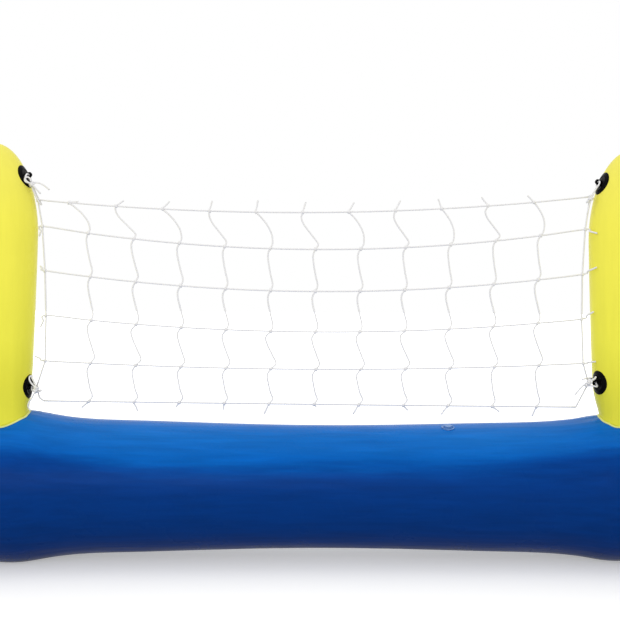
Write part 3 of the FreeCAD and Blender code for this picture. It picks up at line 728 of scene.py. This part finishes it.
for word, side in SIDES.items():
    rings = []
    for i in range(POST_ALONG + 1):
        share = 1 - (1 - i / POST_ALONG) ** POST_CROWDING
        ring = []
        for angle in around(POST_AROUND):
            reach = foot_reach(side, angle)
            x = side * POST_X + reach * math.cos(angle)
            start = seam_height(x, reach * math.sin(angle)) - POST_SINK
            z = start + (POST_TOP - 0.02 * MM - start) * share
            r = post_radius(z)
            over = z - start
            fade = math.exp(-over / POST_FOLD_FADE) * min(1.0, over / POST_FOLD_RISE)
            r += POST_FOLD_DEPTH * fade * fold(angle, FOOT_FOLDS, FOLD_SEEDS["post_foot"] + side)
            r += POST_FLARE * math.exp(-over / POST_FLARE_FADE)
            r += (reach - post_radius(start)) * math.exp(-((over / OUT_OF_ROUND_FADE) ** 1.5))
            back = math.atan2(math.cos(angle), math.sin(angle)) * r
            r += lap_seam(back) * min(1.0, (POST_TOP - z) / LAP_SEAM_RUN_OUT)
            ring.append(Vector((side * POST_X + r * math.cos(angle), r * math.sin(angle), z)))
        rings.append(ring)
    skin = grid_piece(f"post_skin_{word}", rings, yellow_film,
                      [Vector((side * POST_X, 0, CREST)), Vector((side * POST_X, 0, POST_TOP))])
    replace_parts(skin, f"post_{word}")
    print("post", word, len(skin.data.vertices), "points")

# %% [markdown]
# ## The end floats
# A float is a short fat tube with gathered round ends. Its ends bend over tightly and close in a shallow cap, and the
# film there has more to spare, so it puckers. A weld runs round where the cap begins.

# %% End floats
FLOAT_END_DEPTH = 80 * MM
FLOAT_END_BEND = 50 * MM
FLOAT_AROUND = 144
PUCKER_DEPTH, PUCKER_MIDDLE, PUCKER_WIDTH = 1.5 * MM, 20 * MM, 26 * MM      # measured from where the end begins
PUCKER_FROM = -60 * MM
END_WELD_HEIGHT, END_WELD_PLACE, END_WELD_WIDTH = 0.5 * MM, -4 * MM, 3.5 * MM
FLOAT_BEND_RING = FLOAT_RADIUS - FLOAT_END_BEND
FLOAT_CAP = (FLOAT_END_DEPTH**2 + FLOAT_BEND_RING**2 - FLOAT_END_BEND**2) / (2 * (FLOAT_END_DEPTH - FLOAT_END_BEND))
FLOAT_MEET = math.atan2(FLOAT_CAP - FLOAT_END_DEPTH, FLOAT_BEND_RING)


def float_profile():
    """(distance from the middle, radius) of half a float, from its middle to its pole."""
    straight = FLOAT_HALF_LENGTH - FLOAT_END_DEPTH
    profile = [(straight * i / 30, FLOAT_RADIUS) for i in range(30)]
    for i in range(22):
        a = FLOAT_MEET * i / 22
        profile.append((straight + FLOAT_END_BEND * math.sin(a), FLOAT_BEND_RING + FLOAT_END_BEND * math.cos(a)))
    for i in range(24):
        a = FLOAT_MEET + (math.pi / 2 - FLOAT_MEET) * i / 24
        profile.append((FLOAT_HALF_LENGTH - FLOAT_CAP + FLOAT_CAP * math.sin(a), FLOAT_CAP * math.cos(a)))
    return profile


half = float_profile()
profile = [(-y, r) for y, r in reversed(half[1:])] + half
for word, side in SIDES.items():
    rings = []
    for y, r in profile:
        past = abs(y) - (FLOAT_HALF_LENGTH - FLOAT_END_DEPTH)
        pucker = math.exp(-((past - PUCKER_MIDDLE) / PUCKER_WIDTH) ** 2) if past > PUCKER_FROM else 0.0
        ring = []
        for angle in around(FLOAT_AROUND):
            seed = FOLD_SEEDS["float_end"] + side + math.copysign(3, y)
            wide = r + PUCKER_DEPTH * pucker * fold(angle, FLOAT_FOLDS, seed)
            wide += END_WELD_HEIGHT * math.exp(-((past - END_WELD_PLACE) / END_WELD_WIDTH) ** 2)
            z = FLOAT_AXIS_Z + wide * math.cos(angle)
            ring.append(Vector((side * FLOAT_X + wide * math.sin(angle), y, on_floor(z))))
        rings.append(ring)
    skin = grid_piece(f"float_skin_{word}", rings, blue_float_film,
                      [Vector((side * FLOAT_X, way * FLOAT_HALF_LENGTH, FLOAT_AXIS_Z)) for way in (-1, 1)])
    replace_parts(skin, f"end_float_{word}")
    print("float", word, len(skin.data.vertices), "points")

# %% [markdown]
# ## Weld flanges
# The sheets of two chambers are pressed together along a narrow flange. Round each post it shows as a pale rim, because
# the yellow sheet lies on top. The flange is a flat ribbon swept along the weld's own line, with its outer edge rounded
# and slightly wavy, as pressed vinyl is.

# %% Foot and joint flanges
def flange_piece(name, inner, outer, lift, material):
    """A thin closed ribbon between two closed lines of (point, outward) pairs."""
    rings = []
    for (a, up_a), (b, up_b) in zip(inner, outer):
        across = b - a
        edge = across.normalized() * lift * 0.5
        rings.append([a - up_a * 0.4 * MM, a + up_a * lift, a + across * 0.5 + up_b * lift,
                      b + up_b * lift, b + edge + up_b * lift * 0.45, b - up_b * 0.4 * MM])
    build = bmesh.new()
    join_rings(build, [[build.verts.new(p) for p in ring] for ring in rings], closed=True)
    bmesh.ops.recalc_face_normals(build, faces=build.faces)
    return new_piece(name, build, material)


def tube_skin_at(x, y):
    """A point on the folded tube skin over a place on plan, with the outward direction there."""
    angle = math.asin(max(-1.0, min(1.0, -y / tube_radius(x))))
    up = Vector((0, -math.sin(angle), math.cos(angle)))
    return tube_point(x, angle, tube_fold(x, angle)), up


FLANGE_STEPS = 220
FLANGE_LIFT = 1.2 * MM
for word, side in SIDES.items():
    inner, outer = [], []
    for a in around(FLANGE_STEPS):
        uneven = 0.4 * MM * noise_at(2 * math.cos(a), 2 * math.sin(a), side)
        reach = foot_reach(side, a) + FOOT_RIM_WIDTH + uneven
        close = foot_reach(side, a) - 0.6 * MM
        inner.append(tube_skin_at(side * POST_X + close * math.cos(a), close * math.sin(a)))
        outer.append(tube_skin_at(side * POST_X + reach * math.cos(a), reach * math.sin(a)))
    flange = flange_piece(f"foot_flange_{word}", inner, outer, FLANGE_LIFT, pale_weld)
    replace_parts(flange, f"foot_strip_{word}")

JOINT_STRIP_WIDTH = 9 * MM
for word, side in SIDES.items():
    inner, outer = [], []
    for a in around(FLANGE_STEPS):
        a -= math.pi
        up = Vector((0, -math.sin(a), math.cos(a)))
        end = tube_end(a)
        for line, x in ((inner, end + 0.5 * MM), (outer, end - JOINT_STRIP_WIDTH)):
            x *= side
            line.append((tube_point(x, a, tube_fold(x, a)), up))
    flange = flange_piece(f"joint_flange_{word}", inner, outer, FLANGE_LIFT, blue_weld)
    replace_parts(flange, f"joint_strip_{word}")
print("flanges made")

# %% [markdown]
# ## The net
# The net is one sheet of knotted cord: six rows and thirteen uprights. The rows hang a little between the posts. The
# uprights were wound on a shuttle while wet, so each one springs to the left under its knot and to the right above the
# next. Each cord is swept along its own line, and its cut ends stand out past the last knot.

# %% Knots of the net
CELLS_ACROSS = 12
CELLS_DOWN = 5
NET_HALF_WIDTH = POST_X - POST_RADIUS - 11 * MM
NET_ROWS = [       # heights of the left and right knot over the crest, sag, left and right reach past the half
                   # width, all in mm
    (399.0, 415.0, 26.5, 9.0, 9.0),
    (349.5, 353.0, 40.5, 0.0, 0.0),
    (266.5, 267.5, 35.5, -5.5, -5.0),
    (182.5, 182.5, 27.5, -8.0, -5.5),
    (97.5, 98.5, 13.5, -7.0, -2.0),
    (22.5, 15.5, 0.5, -5.0, -15.5),
]
END_CELLS = {0: (58.0, 107.5), CELLS_DOWN: (84.0, 75.0)}    # row: widths of its first and last gap, in mm
SIDE_PINCHES = {0: [(-520.4, 48.5), (-515.0, 28.5)], CELLS_ACROSS: [(520.5, 61.0)]}   # (x, height over the crest)


def net_knot(column, row):
    """The middle of one knot."""
    left_rise, right_rise, sag, left_reach, right_reach = NET_ROWS[row]
    first, last = -NET_HALF_WIDTH - left_reach * MM, NET_HALF_WIDTH + right_reach * MM
    if row in END_CELLS and 0 < column < CELLS_ACROSS:
        first_cell, last_cell = (width * MM for width in END_CELLS[row])
        x = first + first_cell + (last - last_cell - first - first_cell) * (column - 1) / (CELLS_ACROSS - 2)
    else:
        x = first + (last - first) * column / CELLS_ACROSS
    share = (x - first) / (last - first)
    z = CREST + (left_rise + (right_rise - left_rise) * share - 4 * sag * share * (1 - share)) * MM
    return Vector((x, 0, z))


# %% [markdown]
# Each gap between two rows has its own wave, read from the picture as pairs: the share of the way down, and how far
# the upright stands to the right there, in mm. In the top gap every second upright only bulges right, because the top
# row was threaded the other way there. A little noise makes no two alike.

# %% Rows, uprights and their cut ends
GAP_WAVES = [
    [(0.16, -6.0), (0.36, -5.0), (0.66, 4.0), (0.86, 8.5)],
    [(0.14, -4.5), (0.34, -3.5), (0.62, 0.5), (0.86, 4.5)],
    [(0.14, -5.5), (0.32, -5.0), (0.60, 0.0), (0.86, 4.5)],
    [(0.16, -8.0), (0.36, -5.5), (0.64, 2.5), (0.86, 8.0)],
    [(0.18, -6.0), (0.40, -3.5), (0.66, 1.0), (0.86, 6.0)],
]
FIRST_GAP_BULGE = [(0.14, 5.5), (0.34, 11.0), (0.60, 13.0), (0.86, 8.0)]
TOP_TAILS = [(17.4, 2.5), (14.3, 10.6), (12.6, 14.3), (5.1, 18.5), (3.4, 22.1), (5.8, 19.4), (9.2, 18.1), (9.4, 19.2),
             (-6.6, 18.3), (-11.9, 16.2), (-11.9, 12.4)]
BOTTOM_TAILS = [(-13.4, -11.5), (7.2, -16.8), (-5.5, -8.1), (-1.5, -12.1), (-8.9, -19.0), (4.9, -5.0), (-9.8, -17.2),
                (9.2, -9.4), (-11.9, -16.2), (13.8, -10.2), (-8.1, -17.9)]
LEFT_TAILS = [(-5.9, 0, -18.6), (-9.3, 0, 8.5), (-10.2, 0, -21.8), (-18.6, 0, 8.4)]
RIGHT_TAILS = [(13.5, -26, -8.5), (19.0, -24, 13.0), (18.4, -14, 14.8), (18.4, -16, 5.0)]
IN_FRONT = Vector((0, -0.9 * MM, 0))
WAVE_SPREAD = 0.35     # how much the size of the waves varies


def tail(facts):
    """A cut end's vector from its knot, from millimetres as (x, z) or (x, y, z)."""
    return Vector((facts[0], 0, facts[1]) if len(facts) == 2 else facts) * MM


def wave_of(column, row):
    """The bends of an upright between two rows."""
    wave = FIRST_GAP_BULGE if row == 0 and column % 2 else GAP_WAVES[row]
    size = 1 + WAVE_SPREAD * noise_at(column * 1.37, row * 2.11, 5.0)
    return [(t, s * size) for t, s in wave]


uprights = []
for column in range(1, CELLS_ACROSS):
    top, bottom = tail(TOP_TAILS[column - 1]), tail(BOTTOM_TAILS[column - 1])
    points = [net_knot(column, 0) + top, net_knot(column, 0) + top * 0.5]
    for row in range(CELLS_DOWN):
        above, below = net_knot(column, row), net_knot(column, row + 1)
        points.append(above + IN_FRONT)
        points += [above.lerp(below, t) + Vector((s * MM, 0, 0)) for t, s in wave_of(column, row)]
    last = net_knot(column, CELLS_DOWN)
    uprights.append(smooth_line(points + [last + IN_FRONT, last + bottom * 0.5, last + bottom]))


def straight_runs(points):
    """The same line with a point near each end of every run, so that a smooth line stays straight between them."""
    line = [points[0]]
    for near, far in zip(points, points[1:]):
        line += [near.lerp(far, 0.15), near.lerp(far, 0.85), far]
    return line


side_cords = []
for column in (0, CELLS_ACROSS):
    points = [net_knot(column, row) for row in range(CELLS_DOWN + 1)]
    pinch = [Vector((x * MM, 0, CREST + z * MM)) for x, z in SIDE_PINCHES[column]]
    side_cords.append(smooth_line(straight_runs(points[:-1] + pinch + [points[-1]]), steps=4))
rows = []
for row in range(CELLS_DOWN + 1):
    points = [net_knot(column, row) for column in range(CELLS_ACROSS + 1)]
    if 0 < row < CELLS_DOWN:
        left, right = tail(LEFT_TAILS[row - 1]), tail(RIGHT_TAILS[row - 1])
        bent = Vector((1.0, 0.6, 1.0))
        points = ([points[0] + left, points[0] + left * 0.5] + points
                  + [points[-1] + right * 0.5 * bent, points[-1] + right])
    rows.append(smooth_line(points))
net_rows = cord_piece("net_rows", rows, CORD / 2, white_cord)
cord_piece("net_uprights", uprights, CORD / 2, white_cord)
cord_piece("net_side_cords", side_cords, CORD / 2, white_cord)
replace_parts(net_rows, "net")
print("net cords", len(rows), "rows", len(uprights) + len(side_cords), "uprights")

# %% [markdown]
# A knot is a turn and a half of the upright round the row, pulled tight, so the cord there is squeezed thinner than it
# is elsewhere. A short spiral round the row's line draws it. It is small in the picture, but it keeps the crossings
# from looking like a drawn grid when the camera comes near.

# %% Knots
KNOT_RADIUS = 0.80 * CORD
KNOT_LENGTH = 0.95 * CORD
KNOT_STEPS = 16
KNOT_CORD_RADIUS = 0.42 * CORD     # pulled tight


def knot_line(centre, seed):
    """A turn and a half round the row's line."""
    hand = 1 if noise_at(seed, 3.0, 1.0) > 0 else -1
    line = []
    for i in range(KNOT_STEPS + 1):
        t = i / KNOT_STEPS
        angle = 3 * math.pi * t
        x = hand * (t - 0.5) * KNOT_LENGTH
        line.append(centre + Vector((x, -KNOT_RADIUS * math.sin(angle), KNOT_RADIUS * math.cos(angle))))
    return line


corners = [(0, CELLS_DOWN), (CELLS_ACROSS, CELLS_DOWN)]       # there the one cord only turns
knots = [knot_line(net_knot(column, row), column * 7.3 + row)
         for row in range(CELLS_DOWN + 1) for column in range(CELLS_ACROSS + 1) if (column, row) not in corners]
cord_piece("net_knots", knots, KNOT_CORD_RADIUS, white_cord)
print("knots", len(knots))

# %% [markdown]
# ## The moulded eyelets
# An eyelet is one moulding: a round patch that is welded to the film and follows it, thin at its rim, with a low ring
# and a standing ear. The patch is a grid of rings laid on the skin. The ear is a ring with a rounded section, whose
# outside runs down into the patch, so its hole stays round.

# %% Eyelet helpers
EYELET_RADIUS = 22.5 * MM
EAR_RADIUS = 6.2 * MM
EAR_THICKNESS = 5.0 * MM
EAR_TURN = math.radians(35)
EAR_AROUND, EAR_SECTION = 48, 12
EAR_SQUARENESS = 0.6                    # of its section: 1 is round, 0 is square
PATCH_PROFILE = [(0.20, 1.0), (0.46, 0.95), (0.56, 0.95), (0.60, 1.22), (0.66, 1.30), (0.72, 1.22),
                 (0.76, 0.92), (0.88, 0.85), (0.955, 0.72), (0.985, 0.45), (1.0, 0.10), (0.99, -0.30)]
PATCH_AROUND = 72
SKIN_BELOW, SKIN_ABOVE = 40 * MM, 6 * MM     # how far from the flat patch the skin may be


def drop_to_skin(point, normal, outside):
    """Move a point along the normal onto the skin, where outside() changes sign."""
    low, high = -SKIN_BELOW, SKIN_ABOVE
    for _ in range(36):
        middle = (low + high) / 2
        if outside(point + normal * middle) > 0:
            high = middle
        else:
            low = middle
    return point + normal * low


def eyelet_piece(name, node, origin, normal, turn, outside):
    """The patch and the ear of one eyelet as one piece, which stands for a node."""
    up_skin = normal.cross(Vector((0, 0, 1)).cross(normal)).normalized()
    across = Matrix.Rotation(turn, 3, normal) @ up_skin
    along = across.cross(normal)
    build = bmesh.new()
    rings = []
    for share, height in PATCH_PROFILE:
        ring = []
        for a in around(PATCH_AROUND):
            flat = origin + (across * math.cos(a) + along * math.sin(a)) * EYELET_RADIUS * share
            ring.append(build.verts.new(drop_to_skin(flat, normal, outside) + normal * EYELET_THICKNESS * height))
        rings.append(ring)
    middle = build.verts.new(origin + normal * EYELET_THICKNESS)
    for k in range(PATCH_AROUND):
        build.faces.new((middle, rings[0][k], rings[0][(k + 1) % PATCH_AROUND]))
    join_rings(build, rings)
    centre = origin + normal * EAR_HOLE_HEIGHT
    ear = []
    for a in around(EAR_AROUND):
        way = across * math.cos(a) + normal * math.sin(a)
        outer = EAR_RADIUS
        if math.sin(a) < 0:
            beside = EAR_RADIUS / max(abs(math.cos(a)), 0.02)
            below = (EAR_HOLE_HEIGHT - 0.3 * EYELET_THICKNESS) / -math.sin(a)
            outer = max(min(beside, below), EAR_HOLE_RADIUS + 1.0 * MM)
        middle_r, half_r, half_t = (outer + EAR_HOLE_RADIUS) / 2, (outer - EAR_HOLE_RADIUS) / 2, EAR_THICKNESS / 2
        ring = []
        for b in around(EAR_SECTION):
            u, v = (math.copysign(abs(c) ** EAR_SQUARENESS, c) for c in (math.cos(b), math.sin(b)))
            ring.append(build.verts.new(centre + way * (middle_r + u * half_r) + along * v * half_t))
        ear.append(ring)
    join_rings(build, ear, closed=True)
    bmesh.ops.recalc_face_normals(build, faces=build.faces)
    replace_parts(new_piece(name, build, black_moulding), node)


# %% [markdown]
# The skin under a patch is given as a function that is positive outside the film, so one helper serves the domed posts
# and the round floats. The ears of a post's two eyelets are turned opposite ways, so that the cords pull squarely
# through their holes.

# %% Place the eyelets
for name, (side, foot, normal, _) in eyelets.items():
    def outside_post(p, axis=side * POST_X):
        return math.hypot(p.x - axis, p.y) - post_radius(p.z)

    turn = EAR_TURN * side * (1 if name.startswith("upper") else -1)
    eyelet_piece(f"moulded_eyelet_{name}", f"eyelet_{name}", foot, normal, turn, outside_post)
for word, side in SIDES.items():
    def outside_float(p, axis=side * FLOAT_X):
        return math.hypot(p.x - axis, p.z - FLOAT_AXIS_Z) - FLOAT_RADIUS

    origin = Vector((side * (FLOAT_X + FLOAT_RADIUS), 0, FLOAT_AXIS_Z))
    eyelet_piece(f"moulded_tether_eyelet_{word}", f"tether_eyelet_{word}", origin, Vector((side, 0, 0)), 0,
                 outside_float)
print("eyelets", len(eyelets) + len(SIDES))

# %% [markdown]
# ## The valves
# The valve parts keep the frame's own meshes, because their plain turned shapes are right. They only need their finish:
# clear vinyl, with a slight blue tint from the film behind.

# %% Finish the valves
for name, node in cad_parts.items():
    if "valve" in name:
        node.data.materials.clear()
        node.data.materials.append(clear_valve)
print("valve pieces", sum("valve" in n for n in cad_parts))

# %% [markdown]
# ## Floor, background and light
# The picture has a white ground. The floor glows where it is seen, by the camera and in reflections, more so further
# from the set, so that it meets the background without an edge and still takes the set's soft shadow.

# %% Floor
floor_mesh = bpy.data.meshes.new("floor")
floor_mesh.from_pydata([(-12, -12, 0), (12, -12, 0), (12, 12, 0), (-12, 12, 0)], [], [(0, 1, 2, 3)])
floor = new_object("floor", floor_mesh)
floor.location.z = -0.0005
floor_white, floor_shader, add = new_material("floor_white")
feed(floor_shader, {"Base Color": (0.74, 0.74, 0.74, 1), "Roughness": 0.9, "Specular IOR Level": 0.0})
away = add("VectorMath", {0: add("TexCoord").outputs["Object"]}, operation="LENGTH").outputs["Value"]
strength = maths(add, "MULTIPLY", seen_rays(add), remap(add, away, (1.3, 2.6), (0.38, 1.0)))
both = add("AddShader", {0: floor_shader, 1: add("Emission", {"Strength": strength})})
feed(floor_white.node_tree.nodes["Material Output"], {"Surface": both})
floor_mesh.materials.append(floor_white)
print("floor at", floor.location.z)

# %% [markdown]
# The world is a little darker as a light than as a background. Light paths keep the two apart: what the camera sees,
# and what shows in the gloss of the film and through the clear valves, is full white, and everything else is lit by
# the lower value. Without that split either the background turns grey or the yellow washes out.

# %% World
WORLD_LIGHT = 0.92
world = bpy.data.worlds.new("world")
bpy.context.scene.world = world
world.use_nodes = True
add = node_adder(world.node_tree)
level = remap(add, seen_rays(add), (0.0, 1.0), (WORLD_LIGHT, 1.0))
feed(world.node_tree.nodes["Background"], {"Color": (1, 1, 1, 1), "Strength": level})
print("world light", WORLD_LIGHT)

# %% [markdown]
# Two large weak lamps give the light a direction: one overhead, for the shadow on the floor, and one in front. Large
# areas keep the shadows soft, and weak ones keep every colour close to how it was written.

# %% Lamps
LAMPS = [
    ("overhead", (0.0, 0.2, 2.6), (0.0, 0.0, 0.2), (3.2, 2.0), 9.0),
    ("front", (-0.8, -3.2, 1.5), (0.0, 0.0, 0.4), (2.2, 1.6), 22.0),
]
for name, place, target, (wide, deep), power in LAMPS:
    data = bpy.data.lights.new(name, "AREA")
    data.shape = "RECTANGLE"
    data.size, data.size_y, data.energy = wide, deep, power
    lamp = new_object(name, data)
    lamp.location = place
    lamp.rotation_euler = (Vector(target) - Vector(place)).to_track_quat("-Z", "Y").to_euler()
print("lamps", len(LAMPS))
